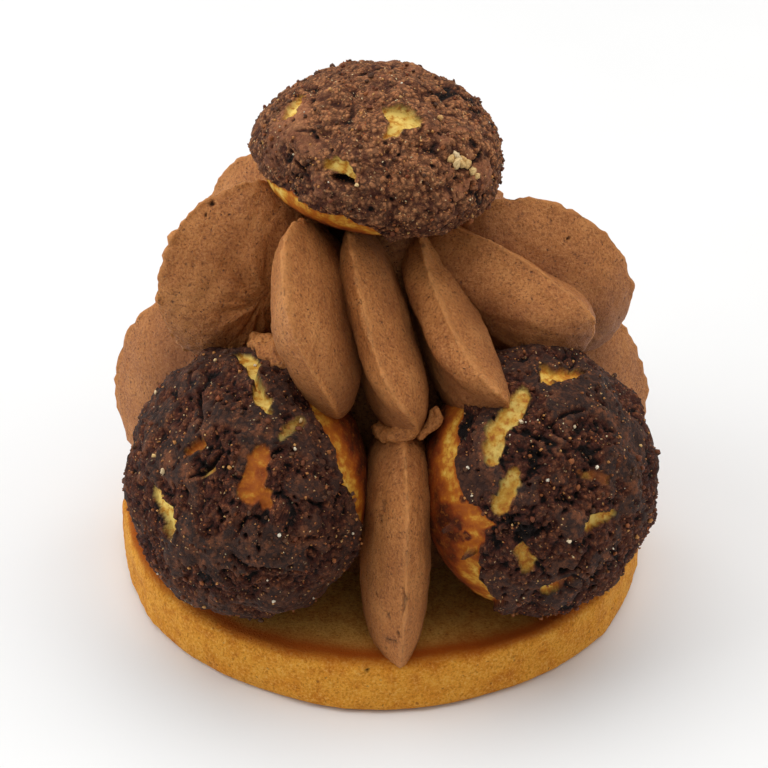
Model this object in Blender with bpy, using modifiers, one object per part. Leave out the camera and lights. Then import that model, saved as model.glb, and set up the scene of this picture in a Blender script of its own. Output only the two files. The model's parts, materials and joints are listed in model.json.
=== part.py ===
"""A chocolate saint-honore cake for one: a biscuit disc, three choux stood on their sides on it with
their crackled cocoa crusts facing out, a fourth chou on top, and piped chocolate cream between them.

The cream is a core, five tall wedges between the lower choux, and a crown of ten petals under the
top chou. Each stroke of cream is one lens-shaped solid with a sharp ridge along its outer edge.

Units are metres, +Z is up, and the origin is the centre of the biscuit's underside.
An azimuth is in degrees round +Z, from the front (-Y) towards the right (+X).
"""

import math

import bmesh
import bpy
from mathutils import Matrix, Vector, noise

MM = 0.001
GAP = 0.3 * MM  # clearance between two pieces that touch

# Biscuit disc
BISCUIT_RADIUS = 40.0 * MM
BISCUIT_THICKNESS = 8.5 * MM
BISCUIT_EDGE = 1.6 * MM
BISCUIT_WOBBLE = 0.35 * MM
BISCUIT_SEGMENTS = 48
DECK = BISCUIT_THICKNESS + GAP  # the level that everything on the biscuit stands on

# Choux on the biscuit: name, azimuth and distance of the middle from the axis, the azimuth that the
# crust faces, its lean above the horizon, diameter, height from the flat base to the top of the bun
SIDE_CHOUX = (
    ("chou_left", -39.8, 30.8 * MM, -51.0, 21.0, 36.0 * MM, 27.2 * MM),
    ("chou_right", 46.8, 31.6 * MM, 55.0, 20.0, 36.2 * MM, 26.8 * MM),
    ("chou_back", 180.0, 29.4 * MM, 180.0, 20.0, 36.0 * MM, 27.2 * MM),
)
SIDE_CHOU_FORM = (0.42, 0.60, 2.6)  # see chou_profile
TOP_CHOU_DIAMETER = 33.4 * MM
TOP_CHOU_HEIGHT = 18.7 * MM
TOP_CHOU_FORM = (0.37, 0.52, 2.3)
TOP_CHOU_BASE = Vector((-1.9 * MM, 0.9 * MM, 60.2 * MM))
TOP_CHOU_TILT = (0.0, 3.0)  # degrees that its top leans to the front and to the right
DOME_POWER = 2.15  # 2 makes the dome an ellipse, more squares its shoulders
BASE_LATITUDE = -0.55  # share of the way from the equator to the pole at which the flat base begins
CHOU_SEGMENTS, CHOU_RINGS = 34, 19
CUTTER_SEGMENTS, CUTTER_RINGS = 22, 13

# Crackled crust on each chou
CRUST_THICKNESS = 0.9 * MM
CRUST_LOWEST = 0.27  # share of the chou's height where the crust's rim lies
CRUST_RAGGEDNESS = 0.10  # how far the rim strays from there, as a share of the height
CRUST_RIM = 0.05  # share of the height in which the crust comes to its full thickness
CRAG_SIZE = 5.5 * MM
CRAG_DEPTH = 1.0 * MM

# Cream core: radius at each height, from its top down
CORE_PROFILE = (
    (3.0 * MM, 58.5 * MM),
    (5.5 * MM, 56.5 * MM),
    (8.5 * MM, 51.0 * MM),
    (13.0 * MM, 44.0 * MM),
    (17.5 * MM, 35.0 * MM),
    (19.0 * MM, 18.0 * MM),
    (18.0 * MM, DECK),
)
CORE_SEGMENTS = 28

# Strokes of cream: see Stroke for what the numbers in the two lists below mean
STROKE_SEGMENTS, STROKE_RINGS = 24, 8
ROUND_EDGE, SHARP_RIDGE = 0.5, 0.95  # powers of the lens's width: the underside's and the ridge's
BODY_POWER = 4.0  # how full the lens stays towards its root and its tip: 2 makes it an ellipse

CRUST_COLOUR = (0.050, 0.022, 0.014, 1.0)
BISCUIT_COLOUR = (0.58, 0.27, 0.075, 1.0)
CREAM_COLOUR = (0.26, 0.115, 0.050, 1.0)


def outward(azimuth):
    turn = math.radians(azimuth)
    return Vector((math.sin(turn), -math.cos(turn), 0.0))


class Stroke:
    """One piped stroke of cream: a lens on edge in a vertical plane, its ridge facing out.

    azimuth, reach and height place the lens's middle: reach from the axis, height above the table.
    heading is the azimuth its plane points to, slope the angle of its long axis above the horizon.
    back and front are its half lengths towards the root and the tip, out and under its half widths
    towards the ridge and the underside, and left and right its half thicknesses. bow bends the ridge
    sideways. nose squares the tip's end, or points it where it is under 2.
    """

    def __init__(self, name, azimuth, reach, height, heading, slope, back, front, out, under,
                 left, right, bow, nose):
        self.name = name
        self.heading = outward(heading)
        self.sideways = outward(heading + 90.0)
        tip = math.radians(slope)
        upward = Vector((0.0, 0.0, 1.0))
        self.middle = outward(azimuth) * reach * MM + upward * height * MM
        self.along = self.heading * math.cos(tip) + upward * math.sin(tip)
        self.across = upward * math.cos(tip) - self.heading * math.sin(tip)
        self.back, self.front = back * MM, front * MM
        self.out, self.under = out * MM, under * MM
        self.left, self.right = left * MM, right * MM
        self.bow = bow * MM
        self.nose = nose

    def place(self, along, side, across):
        """World position of a point given along the stroke, sideways, and across towards the ridge."""
        return self.middle + self.along * along + self.sideways * side + self.across * across


# name, azimuth, reach, height, heading, slope, back, front, out, under, left, right, bow, nose
WEDGES = (
    Stroke("cream_wedge_front", 5.5, 26.5, 24.3, 0.0, -76, 14.4, 22.6, 13.8, 13.0, 5.2, 4.4, 1.2, 2.6),
    Stroke("cream_wedge_left", -105.0, 27.5, 22.0, -105.0, -90, 19.0, 17.5, 15.0, 13.0, 7.0, 7.0, 0.0, 2.4),
    Stroke("cream_wedge_right", 105.0, 26.8, 21.5, 105.0, -90, 19.0, 17.5, 14.8, 13.0, 7.0, 7.0, 0.0, 2.4),
    Stroke("cream_wedge_back_left", -133.0, 25.5, 22.5, -133.0, -90, 18.5, 17.5, 14.0, 12.0, 6.2, 6.2, 1.0, 2.6),
    Stroke("cream_wedge_back_right", 134.0, 25.5, 22.0, 134.0, -90, 18.5, 17.5, 14.0, 12.0, 6.2, 6.2, 1.0, 2.6),
)
PETALS = (
    Stroke("cream_petal_01", 2.7, 16.6, 48.3, 18.4, -34.7, 18.1, 14.6, 9.1, 11.8, 4.6, 3.5, -5.6, 3.7),
    Stroke("cream_petal_02", 43.8, 17.3, 49.6, 19.2, -19.0, 17.3, 16.6, 5.3, 14.5, 7.1, 1.6, -5.8, 3.4),
    Stroke("cream_petal_03", 77.3, 18.6, 49.4, 59.0, -16.4, 18.6, 13.6, 7.2, 9.3, 8.4, 5.5, -2.7, 3.2),
    Stroke("cream_petal_04", 94.6, 21.3, 47.6, 93.4, -34.3, 15.6, 15.3, 12.5, 9.0, 6.0, 6.0, 0.0, 2.1),
    Stroke("cream_petal_05", 136.0, 16.5, 45.5, 142.0, -52.0, 15.5, 13.5, 10.5, 9.0, 6.0, 6.0, -1.5, 2.3),
    Stroke("cream_petal_06", 166.0, 17.5, 48.0, 176.0, -45.0, 16.0, 13.5, 11.0, 9.0, 5.4, 5.4, -3.0, 2.5),
    Stroke("cream_petal_07", -162.0, 18.0, 49.0, -150.0, -42.0, 16.0, 13.5, 10.5, 9.0, 5.4, 5.4, -3.5, 2.5),
    Stroke("cream_petal_08", -122.0, 17.5, 50.5, -112.0, -45.0, 14.5, 13.5, 12.5, 9.0, 5.8, 5.8, -1.0, 2.1),
    Stroke("cream_petal_09", -77.0, 19.5, 52.2, -62.3, -55.8, 13.2, 15.5, 14.5, 10.8, 5.9, 5.9, 0.0, 2.0),
    Stroke("cream_petal_10", -24.3, 16.9, 49.2, 2.8, -28.3, 14.3, 14.0, 16.3, 9.0, 6.9, 3.6, -7.4, 2.8),
)


def clear_scene():
    for obj in list(bpy.data.objects):
        bpy.data.objects.remove(obj, do_unlink=True)


def collection(name):
    made = bpy.data.collections.new(name)
    bpy.context.scene.collection.children.link(made)
    return made


def material(name, colour, roughness):
    made = bpy.data.materials.new(name)
    made.use_nodes = True
    shader = made.node_tree.nodes["Principled BSDF"]
    shader.inputs["Base Color"].default_value = colour
    shader.inputs["Roughness"].default_value = roughness
    shader.inputs["Metallic"].default_value = 0.0
    return made


def object_from(name, shape, home, finish=None):
    """Turns a bmesh into an object in a collection."""
    mesh = bpy.data.meshes.new(name)
    bmesh.ops.recalc_face_normals(shape, faces=shape.faces)
    if shape.calc_volume(signed=True) < 0.0:
        bmesh.ops.reverse_faces(shape, faces=shape.faces)
    shape.to_mesh(mesh)
    shape.free()
    obj = bpy.data.objects.new(name, mesh)
    home.objects.link(obj)
    if finish:
        mesh.materials.append(finish)
        mesh.shade_smooth()
        mesh.set_sharp_from_angle(angle=math.radians(50))
    return obj


def make_cutter(obj):
    obj.hide_render = True
    obj.display_type = "WIRE"
    return obj


def cut(obj, cutter):
    """Takes the cutter's shape out of obj."""
    modifier = obj.modifiers.new("cut " + cutter.name, "BOOLEAN")
    modifier.operation = "DIFFERENCE"
    modifier.object = cutter


def biscuit(home, finish):
    """The disc, a little out of round, with rounded edges."""
    shape = bmesh.new()
    bmesh.ops.create_cone(
        shape,
        segments=BISCUIT_SEGMENTS,
        radius1=BISCUIT_RADIUS,
        radius2=BISCUIT_RADIUS,
        depth=BISCUIT_THICKNESS,
        cap_ends=True,
    )
    for vertex in shape.verts:
        turn = math.atan2(vertex.co.y, vertex.co.x)
        swell = BISCUIT_WOBBLE * (math.sin(3 * turn + 0.6) + 0.6 * math.sin(7 * turn))
        vertex.co.xy *= (BISCUIT_RADIUS - BISCUIT_WOBBLE * 1.6 + swell) / BISCUIT_RADIUS
        vertex.co.z += BISCUIT_THICKNESS / 2
    obj = object_from("biscuit_base", shape, home, finish)
    edge = obj.modifiers.new("rounded edges", "BEVEL")
    edge.width = BISCUIT_EDGE
    edge.segments = 2
    edge.limit_method = "ANGLE"
    return obj


def chou_profile(share, form):
    """A chou's radius, as a share of its widest, at a share of its height: flat base, round dome.

    form holds the share of the height at which it is widest, the radius of the flat base as a share
    of the widest, and a power: the larger it is, the rounder the side between the two.
    """
    waist, foot, belly = form
    if share < waist:
        return 1.0 - (1.0 - foot) * ((waist - share) / waist) ** belly
    above = (share - waist) / (1.0 - waist)
    return math.sqrt(max(0.0, 1.0 - above**DOME_POWER))


def chou_point(latitude, longitude, diameter, height, form):
    """A point on the smooth bun, its axis up and its base at zero. latitude is -1 to 1."""
    if latitude < BASE_LATITUDE:
        share = 0.0
        radius = form[1] * (latitude + 1.0) / (BASE_LATITUDE + 1.0)
    else:
        climbed = (latitude - BASE_LATITUDE) / (1.0 - BASE_LATITUDE)
        share = 0.5 - 0.5 * math.cos(math.pi * climbed)
        radius = chou_profile(share, form)
    radius *= diameter / 2
    return Vector((radius * math.cos(longitude), radius * math.sin(longitude), share * height))


def crust_relief(point, height, seed):
    """How far the crust stands out of the bun at a point: its rim, then crags and cracks."""
    where = point / CRAG_SIZE + Vector((seed, 2.0 * seed, -seed))
    rim = CRUST_LOWEST + CRUST_RAGGEDNESS * noise.noise(where * 0.8)
    cover = min(1.0, max(0.0, (point.z / height - rim) / CRUST_RIM))
    crags = noise.noise(where) + 0.5 * noise.noise(where * 2.1)
    return cover * (CRUST_THICKNESS + CRAG_DEPTH * crags)


def clear_of_crust(point, height):
    """How far from the bun a neighbour has to stay, so that it never meets the crags."""
    lowest_rim = CRUST_LOWEST - CRUST_RAGGEDNESS - CRUST_RIM
    cover = min(1.0, max(0.0, (point.z / height - lowest_rim) / CRUST_RAGGEDNESS))
    return GAP + cover * (CRUST_THICKNESS + 0.9 * CRAG_DEPTH)


def chou_shape(diameter, height, form, seed, cutter=False):
    """The bun with its crust as relief, or the smooth shape that keeps its neighbours clear of it."""
    shape = bmesh.new()
    segments, rings = (CUTTER_SEGMENTS, CUTTER_RINGS) if cutter else (CHOU_SEGMENTS, CHOU_RINGS)
    bmesh.ops.create_uvsphere(shape, u_segments=segments, v_segments=rings, radius=1.0)
    middle = Vector((0.0, 0.0, height * form[0]))
    for vertex in shape.verts:
        latitude = math.asin(max(-1.0, min(1.0, vertex.co.z))) / (math.pi / 2)
        longitude = math.atan2(vertex.co.y, vertex.co.x)
        point = chou_point(latitude, longitude, diameter, height, form)
        relief = clear_of_crust(point, height) if cutter else crust_relief(point, height, seed)
        vertex.co = point + (point - middle).normalized() * relief
    return shape


def side_chou_matrix(shape, azimuth, reach, facing, lean, height):
    """Stands a chou on its side on the biscuit, with its crust facing out and leaning up."""
    tip = math.radians(lean)
    axis = outward(facing) * math.cos(tip) + Vector((0.0, 0.0, math.sin(tip)))
    spin = Vector((0.0, 0.0, 1.0)).rotation_difference(axis).to_matrix().to_4x4()
    middle = Vector((0.0, 0.0, height * 0.5))
    lowest = min((spin @ (vertex.co - middle)).z for vertex in shape.verts)
    centre = outward(azimuth) * reach + Vector((0.0, 0.0, DECK - lowest))
    return Matrix.Translation(centre) @ spin @ Matrix.Translation(-middle)


def top_chou_matrix():
    forward, sideways = (math.radians(angle) for angle in TOP_CHOU_TILT)
    lean = Matrix.Rotation(forward, 4, "X") @ Matrix.Rotation(sideways, 4, "Y")
    return Matrix.Translation(TOP_CHOU_BASE) @ lean


def add_chou(name, shape, matrix, form, home, cutters, finish):
    """One chou and its smooth cutter, both placed by the matrix. Returns the cutter."""
    object_from(name, shape, home, finish).matrix_world = matrix
    cutter = object_from(name + "_cutter", chou_shape(*form, seed=0, cutter=True), cutters)
    cutter.matrix_world = matrix
    return make_cutter(cutter)


def choux(home, cutters, finish):
    """The four choux. Returns their cutters, the top chou's last."""
    made = []
    for seed, (name, azimuth, reach, facing, lean, diameter, height) in enumerate(SIDE_CHOUX, start=1):
        form = (diameter, height, SIDE_CHOU_FORM)
        shape = chou_shape(*form, seed)
        matrix = side_chou_matrix(shape, azimuth, reach, facing, lean, height)
        made.append(add_chou(name, shape, matrix, form, home, cutters, finish))
    form = (TOP_CHOU_DIAMETER, TOP_CHOU_HEIGHT, TOP_CHOU_FORM)
    shape = chou_shape(*form, seed=4)
    made.append(add_chou("chou_top", shape, top_chou_matrix(), form, home, cutters, finish))
    return made


def core(name, grow, home, finish=None):
    """The mound of cream in the middle, turned from its profile, or a larger one to cut with."""
    top, bottom = CORE_PROFILE[0][1], CORE_PROFILE[-1][1]
    profile = [(0.0, top), *((radius + grow, height) for radius, height in CORE_PROFILE), (0.0, bottom)]
    shape = bmesh.new()
    points = [shape.verts.new((radius, 0.0, height)) for radius, height in profile]
    for point in points[:2]:
        point.co.z += grow
    for start, end in zip(points, points[1:]):
        shape.edges.new((start, end))
    obj = object_from(name, shape, home, finish)
    turned = obj.modifiers.new("turned", "SCREW")
    turned.steps = CORE_SEGMENTS
    turned.render_steps = CORE_SEGMENTS
    turned.use_merge_vertices = True
    turned.merge_threshold = 0.00001
    return obj


def stroke_shape(stroke, grow=0.0, floor=None):
    """A lens from a sphere: longitude runs round the outline, latitude from one side to the other."""
    shape = bmesh.new()
    bmesh.ops.create_uvsphere(shape, u_segments=STROKE_SEGMENTS, v_segments=STROKE_RINGS, radius=1.0)
    for vertex in shape.verts:
        side = max(-1.0, min(1.0, vertex.co.z))
        ring = math.sqrt(1.0 - side * side)
        turn = math.atan2(vertex.co.y, vertex.co.x)
        c, s = math.cos(turn), math.sin(turn)
        power = 2.0 / (stroke.nose if c > 0 and s > 0 else 2.0)
        along = math.copysign(abs(c) ** power, c) * (stroke.front if c > 0 else stroke.back)
        across = math.copysign(abs(s) ** power, s) * (stroke.out if s > 0 else stroke.under)
        sharp = ROUND_EDGE + (SHARP_RIDGE - ROUND_EDGE) * max(0.0, min(1.0, 0.5 + s))
        fullness = 2.0 + (BODY_POWER - 2.0) * c * c
        width = (stroke.right if side > 0.0 else stroke.left) * max(0.0, 1.0 - ring**fullness) ** sharp
        grown = 1.0 + grow / stroke.out
        vertex.co = stroke.place(
            along * ring * grown,
            math.copysign(width + grow * (1.0 - ring), side) + stroke.bow * ring * max(0.0, s),
            across * ring * grown,
        )
    if floor is not None:
        below = bmesh.ops.bisect_plane(
            shape,
            geom=shape.verts[:] + shape.edges[:] + shape.faces[:],
            plane_co=(0.0, 0.0, floor),
            plane_no=(0.0, 0.0, 1.0),
            clear_inner=True,
        )
        rim = [item for item in below["geom_cut"] if isinstance(item, bmesh.types.BMEdge)]
        bmesh.ops.contextual_create(shape, geom=rim)
    return shape


def cream(home, cutters, finish, chou_cutters):
    """The core, the wedges and the petals, each cut back from what it meets."""
    mound = core("cream_core", 0.0, home, finish)
    core_cutter = make_cutter(core("cream_core_cutter", GAP, cutters))
    for cutter in chou_cutters:
        cut(mound, cutter)

    wedge_cutters = []
    for stroke in WEDGES:
        wedge = object_from(stroke.name, stroke_shape(stroke, floor=DECK), home, finish)
        for cutter in [core_cutter, *chou_cutters[:-1], *wedge_cutters]:
            cut(wedge, cutter)
        grown = object_from(stroke.name + "_cutter", stroke_shape(stroke, GAP), cutters)
        wedge_cutters.append(make_cutter(grown))

    petal_cutters = []
    for stroke in PETALS:
        petal = object_from(stroke.name, stroke_shape(stroke), home, finish)
        for cutter in [core_cutter, *chou_cutters, *wedge_cutters, *petal_cutters]:
            cut(petal, cutter)
        grown = object_from(stroke.name + "_cutter", stroke_shape(stroke, GAP), cutters)
        petal_cutters.append(make_cutter(grown))


def main():
    clear_scene()
    cake = collection("saint_honore_cake")
    cutters = collection("cutters")
    biscuit(cake, material("biscuit", BISCUIT_COLOUR, 0.8))
    chou_cutters = choux(cake, cutters, material("chou_crust", CRUST_COLOUR, 0.75))
    cream(cake, cutters, material("cream", CREAM_COLOUR, 0.5), chou_cutters)


main()
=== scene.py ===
"""The looks of a chocolate saint-honore cake for one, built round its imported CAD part.

Each chou is one skin: a golden bun, and a crumbly cocoa crust that stands out of it and is missing
at its bare patches. The cream is fifteen piped strokes, the core behind them and a few scraps. The
biscuit has a browned rim. Grains of sugar and crumbs lie on the crusts.

Shapes are worked out in millimetres with numpy, and add_mesh turns them into metres. +Z is up, and
an azimuth is in degrees round +Z, from the front (-Y) towards the right (+X).
"""

import itertools
import json
import math

import bpy
import numpy as np
from mathutils import Matrix, Vector, noise

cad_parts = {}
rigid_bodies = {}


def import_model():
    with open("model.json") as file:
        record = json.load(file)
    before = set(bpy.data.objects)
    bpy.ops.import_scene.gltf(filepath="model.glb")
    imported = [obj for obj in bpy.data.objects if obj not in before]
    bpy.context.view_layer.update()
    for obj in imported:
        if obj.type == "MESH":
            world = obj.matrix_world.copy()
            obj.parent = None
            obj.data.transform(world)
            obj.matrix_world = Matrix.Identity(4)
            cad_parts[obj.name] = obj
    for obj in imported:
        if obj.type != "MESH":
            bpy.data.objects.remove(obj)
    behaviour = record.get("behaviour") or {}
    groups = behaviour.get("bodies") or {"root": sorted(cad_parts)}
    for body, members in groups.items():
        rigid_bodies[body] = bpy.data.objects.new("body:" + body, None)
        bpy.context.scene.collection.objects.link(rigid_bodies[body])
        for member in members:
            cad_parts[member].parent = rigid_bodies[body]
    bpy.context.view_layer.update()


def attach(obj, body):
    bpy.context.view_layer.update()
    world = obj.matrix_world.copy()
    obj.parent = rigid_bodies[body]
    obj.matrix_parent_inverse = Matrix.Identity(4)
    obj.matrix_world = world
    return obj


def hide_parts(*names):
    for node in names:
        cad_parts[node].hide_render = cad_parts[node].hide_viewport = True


MM = 0.001
UP = np.array([0.0, 0.0, 1.0])

# ---- The CAD part's own sizes, in millimetres ----

BISCUIT_RADIUS, BISCUIT_THICKNESS, BISCUIT_EDGE, BISCUIT_WOBBLE = 40.0, 8.5, 1.6, 0.35
DECK = 8.8  # where the CAD's choux and wedges stand, a little above the biscuit
SINK = 0.15  # how deep the cream settles into the biscuit's face here
SETTLE = 0.3  # how far the choux come down to touch the biscuit

# name, seed, azimuth and distance of the middle from the axis, azimuth that the crust faces, its
# lean above the horizon, diameter, height
SIDE_CHOUX = (
    ("chou_left", 1, -39.8, 30.8, -51.0, 21.0, 36.0, 27.2),
    ("chou_right", 2, 46.8, 31.6, 55.0, 20.0, 36.2, 26.8),
    ("chou_back", 3, 180.0, 29.4, 180.0, 20.0, 36.0, 27.2),
)
SIDE_FORM = (0.42, 0.60, 2.6)  # height share of the widest level, radius share of the base, fullness
TOP_SEED, TOP_DIAMETER, TOP_HEIGHT = 4, 33.4, 18.7
TOP_FORM = (0.37, 0.52, 2.3)
TOP_BASE = (-1.9, 0.9, 60.2)
TOP_TILT = (0.0, 3.0)
DOME_POWER, BASE_LATITUDE = 2.15, -0.55
CRUST_THICKNESS, CRAG_SIZE, CRAG_DEPTH = 0.9, 5.5, 1.0

CORE_PROFILE = (
    (0.0, 58.5), (3.0, 58.5), (5.5, 56.5), (8.5, 51.0), (13.0, 44.0), (17.5, 35.0), (19.0, 18.0),
    (18.0, 8.4), (0.0, 8.4),
)

# Strokes: azimuth, reach and height of the middle, heading, slope, half lengths back and front,
# half widths out and under, half thickness left and right, bow of the ridge, squareness of the tip
WEDGES = {
    "cream_wedge_front": (5.5, 26.5, 24.3, 0.0, -76, 14.4, 22.6, 13.8, 13.0, 5.2, 4.4, 1.2, 2.6),
    "cream_wedge_left": (-105.0, 27.5, 22.0, -105.0, -90, 19.0, 17.5, 15.0, 13.0, 7.0, 7.0, 0.0, 2.4),
    "cream_wedge_right": (105.0, 26.8, 21.5, 105.0, -90, 19.0, 17.5, 14.8, 13.0, 7.0, 7.0, 0.0, 2.4),
    "cream_wedge_back_left": (-133.0, 25.5, 22.5, -133.0, -90, 18.5, 17.5, 14.0, 12.0, 6.2, 6.2, 1.0, 2.6),
    "cream_wedge_back_right": (134.0, 25.5, 22.0, 134.0, -90, 18.5, 17.5, 14.0, 12.0, 6.2, 6.2, 1.0, 2.6),
}
PETALS = {
    "cream_petal_01": (2.7, 16.6, 48.3, 18.4, -34.7, 18.1, 14.6, 9.1, 11.8, 4.6, 3.5, -5.6, 3.7),
    "cream_petal_02": (43.8, 17.3, 49.6, 19.2, -19.0, 17.3, 16.6, 5.3, 14.5, 7.1, 1.6, -5.8, 3.4),
    "cream_petal_03": (77.3, 18.6, 49.4, 59.0, -16.4, 18.6, 13.6, 7.2, 9.3, 8.4, 5.5, -2.7, 3.2),
    "cream_petal_04": (94.6, 21.3, 47.6, 93.4, -34.3, 15.6, 15.3, 12.5, 9.0, 6.0, 6.0, 0.0, 2.1),
    "cream_petal_05": (136.0, 16.5, 45.5, 142.0, -52.0, 15.5, 13.5, 10.5, 9.0, 6.0, 6.0, -1.5, 2.3),
    "cream_petal_06": (166.0, 17.5, 48.0, 176.0, -45.0, 16.0, 13.5, 11.0, 9.0, 5.4, 5.4, -3.0, 2.5),
    "cream_petal_07": (-162.0, 18.0, 49.0, -150.0, -42.0, 16.0, 13.5, 10.5, 9.0, 5.4, 5.4, -3.5, 2.5),
    "cream_petal_08": (-122.0, 17.5, 50.5, -112.0, -45.0, 14.5, 13.5, 12.5, 9.0, 5.8, 5.8, -1.0, 2.1),
    "cream_petal_09": (-77.0, 19.5, 52.2, -62.3, -55.8, 13.2, 15.5, 14.5, 10.8, 5.9, 5.9, 0.0, 2.0),
    "cream_petal_10": (-24.3, 16.9, 49.2, 2.8, -28.3, 14.3, 14.0, 16.3, 9.0, 6.9, 3.6, -7.4, 2.8),
}
BODY_POWER = 4.0  # how full a stroke stays towards its root and its tip: 2 makes it an ellipse

# ---- What the crusts look like ----
# On a chou, a place is its longitude and latitude in degrees, seen from the bun's widest level,
# with the crust's middle at latitude 90. Sizes there are in degrees too: 3 degrees are about 1 mm.

# Rim: (longitude, latitude) of the crust's lower edge
RIMS = {
    "chou_left": (
        (-51, -16), (-32, -7), (-25, -1), (-16, 3), (-4, 6), (7, 9), (30, 4), (60, -6), (100, -14),
        (150, -16), (-150, -15), (-100, -17),
    ),
    "chou_right": (
        (-175, 0), (-166, 2), (-158, 2), (-149, 4), (-142, 7), (-140, 12), (-134, 15), (-131, 19),
        (-129, 14), (-124, 12), (-120, 9), (-113, 7), (-104, 3), (-98, 5), (-92, 10), (-86, 0),
        (-70, -12), (-20, -16), (60, -14), (120, -10), (160, -4),
    ),
    "chou_back": ((-160, -12), (-110, -6), (-60, -14), (0, -10), (50, -15), (110, -8)),
    "chou_top": (
        (-180, -5), (-154, -1), (-136, 0), (-115, -2), (-104, -2), (-92, -7), (-80, -22), (-60, -29),
        (-40, -26), (-10, -16), (40, -10), (100, -8), (150, -6),
    ),
}

# Bare patches: how browned the bun is there (0 pale, 1 dark), how open the patch is, and then the
# (longitude, latitude, half width) of each stop of the line along which the crust is missing
BARE = {
    "chou_left": (
        (0.12, 1.0, (55, 15, 2.4), (45, 18, 3.4), (36, 23, 1.6), (27, 26, 1.3), (17, 28, 2.0),
            (11, 28, 0.8)),
        (0.10, 0.5, (-2, 25, 1.4), (1, 21, 1.8), (3, 17, 1.2)),
        (0.55, 0.9, (-7, 36, 2.0), (-13, 38, 4.0), (-21, 40, 5.0), (-29, 42, 5.4), (-31, 37, 3.0),
            (-36, 35, 1.4)),
        (0.45, 0.9, (18, 69, 1.0), (16, 64, 1.5), (14, 60, 1.2)),
        (0.04, 1.0, (-177, 83, 1.6), (-143, 81, 2.6), (-112, 77, 2.5), (-103, 71, 2.6), (-107, 67, 1.6)),
        (0.10, 0.6, (-13, 63, 0.8), (-13, 59, 0.8)),
    ),
    "chou_right": (
        (0.30, 1.0, (144, 24, 2.4), (150, 27, 2.2)),
        (0.30, 1.0, (144, 25, 2.4), (142, 29, 2.9), (135, 31, 2.5), (129, 32, 1.6)),
        (0.20, 0.78, (165, 22, 3.4), (177, 22, 3.6), (-174, 18, 3.7), (-168, 19, 2.8), (-161, 19, 2.0)),
        (0.22, 0.78, (-155, 29, 2.3), (-151, 28, 2.8), (-145, 26, 2.6), (-140, 23, 2.9), (-142, 21, 1.8)),
        (0.16, 0.86, (-109, 60, 1.4), (-109, 63, 1.8), (-106, 68, 1.8), (-90, 74, 1.2)),
        (0.24, 0.75, (-117, 27, 1.8), (-112, 27, 2.2), (-107, 27, 1.6), (-108, 30, 0.9)),
        (0.16, 0.9, (-85, 25, 1.2), (-85, 29, 1.3)),
        (0.50, 0.4, (-161, 59, 1.6), (-161, 66, 1.2), (-161, 73, 1.4)),
        (0.55, 0.4, (-85, 33, 1.2), (-83, 37, 1.2)),
    ),
    "chou_back": (
        (0.15, 1.0, (100, 55, 1.8), (80, 60, 2.6), (70, 52, 1.6)),
        (0.40, 1.0, (-100, 30, 2.2), (-90, 36, 3.2), (-84, 44, 1.6)),
        (0.08, 1.0, (-30, 48, 1.4), (-22, 42, 2.4), (-18, 34, 1.4)),
        (0.20, 0.9, (160, 35, 1.4), (168, 28, 2.2)),
    ),
    "chou_top": (
        (0.16, 1.0, (-171, 38, 2.4), (-166, 34, 3.4), (-161, 31, 3.2), (-158, 33, 2.0)),
        (0.00, 1.0, (-86, 57, 1.4), (-77, 53, 6.6), (-71, 51, 6.0), (-62, 46, 1.6)),
        (0.08, 1.0, (-78, 49, 4.6), (-83, 43, 2.4), (-88, 39, 0.8)),
        (0.10, 1.0, (-117, 21, 1.5), (-113, 22, 2.8), (-108, 21, 3.0), (-104, 18, 1.4)),
        (0.15, 1.0, (60, 40, 1.4), (72, 44, 2.6), (80, 36, 1.4)),
        (0.20, 1.0, (120, 20, 1.4), (128, 26, 2.2)),
    ),
}

# Bits of crust that lie alone on the bun, and its scorch marks: (longitude, latitude, half width)
BITS = {"chou_right": ((-119, 5, 1.7), (-117, 2, 1.5), (-130, -4, 0.8))}
SCORCH = {"chou_right": ((-132, -10, 1.3), (-126, 4, 2.2), (-130, 1, 1.4), (-143, 5, 1.8), (-124, 1, 1.2))}

# Cracks and holes in a crust: depth in millimetres and their stops, as for the patches
CRACKS = {
    "chou_left": (
        (0.9, (53, 43, 0.7), (45, 49, 0.9), (30, 54, 0.9), (27, 60, 0.6)),
        (1.0, (-17, 71, 0.5), (-15, 66, 0.9), (-7, 58, 1.1), (-1, 53, 0.5)),
        (0.9, (-73, 41, 0.5), (-73, 33, 1.0), (-70, 28, 0.9), (-66, 21, 0.5)),
    ),
    "chou_right": (
        (0.8, (150, 48, 0.6), (165, 42, 0.9), (-175, 36, 0.6)),
        (0.8, (-92, 50, 0.5), (-88, 42, 0.9), (-92, 36, 0.6)),
        (0.8, (-40, 45, 0.5), (-52, 52, 0.8), (-70, 58, 0.5)),
    ),
    "chou_back": ((0.9, (20, 60, 0.6), (50, 66, 1.0), (100, 70, 0.6)),),
    "chou_top": (
        (2.4, (-112, 16, 1.1), (-108, 16, 1.6), (-103, 15, 1.1)),
        (1.3, (-42, 11, 1.0), (-44, 7, 0.9)),
        (0.8, (-140, 20, 0.5), (-132, 16, 0.8), (-128, 14, 0.5)),
    ),
}

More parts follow.
